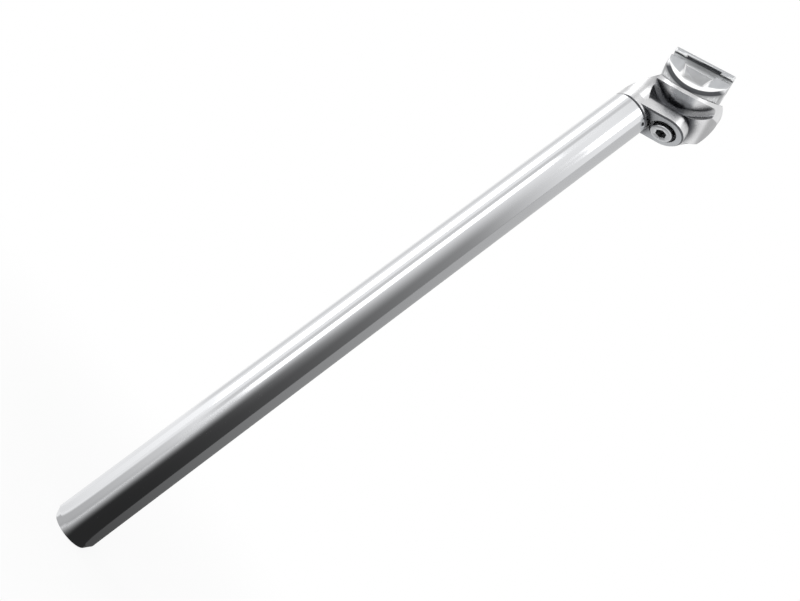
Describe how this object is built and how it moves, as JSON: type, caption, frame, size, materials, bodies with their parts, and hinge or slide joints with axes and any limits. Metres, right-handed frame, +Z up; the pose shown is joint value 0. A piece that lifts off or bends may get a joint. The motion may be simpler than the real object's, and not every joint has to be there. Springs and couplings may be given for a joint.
{
  "type": "bicycle seatpost",
  "caption": "Bicycle seatpost: a polished round tube with a set-back forged head, and a tilting half-moon clamp for saddle rails that a cap screw draws tight from below.",
  "frame": {"origin": "centre of the tube where its full diameter begins, at the top of the lead-in on its lower end", "axes": "+Z up along the tube towards the saddle, +X rearwards in the direction of the clamp's setback, +Y to the bicycle's right"},
  "size_m": [0.0496, 0.052, 0.4121],
  "materials": {
    "polished_aluminium": "polished",
    "cast_aluminium": "satin",
    "plated_steel": "zinc plated"
  },
  "bodies": {
    "post": {"post_tube": "polished_aluminium", "forged_head": "polished_aluminium", "bolt_washer": "plated_steel"},
    "cradle": {"lower_cradle": "cast_aluminium"},
    "plate": {"upper_clamp": "cast_aluminium"},
    "bolt": {"clamp_bolt": "plated_steel"},
    "nut": {"rocker_nut": "plated_steel"}
  },
  "joints": [
    {"name": "clamp_tilt", "type": "hinge", "parent": "post", "child": "cradle", "pos_m": [0.01106, 0, 0.40146], "axis": [0, 1, 0], "range_deg": [-12, 12]},
    {"name": "nut_lift", "type": "slide", "parent": "post", "child": "nut", "axis": [-0.2756, 0, 0.9613], "range_m": [0, 0.007]},
    {"name": "bolt_turn", "type": "hinge", "parent": "post", "child": "bolt", "pos_m": [0.02057, 0, 0.3683], "axis": [0.2756, 0, -0.9613], "range_deg": [0, 2017]},
    {"name": "plate_tilt", "type": "hinge", "parent": "nut", "child": "plate", "pos_m": [0.01106, 0, 0.40146], "axis": [0, 1, 0], "range_deg": [-12, 12]}
  ],
  "couplings": [
    {"joint": "bolt_turn", "follows": "nut_lift", "rad_per_m": 5026.5},
    {"joint": "plate_tilt", "follows": "clamp_tilt", "ratio": 1}
  ]
}
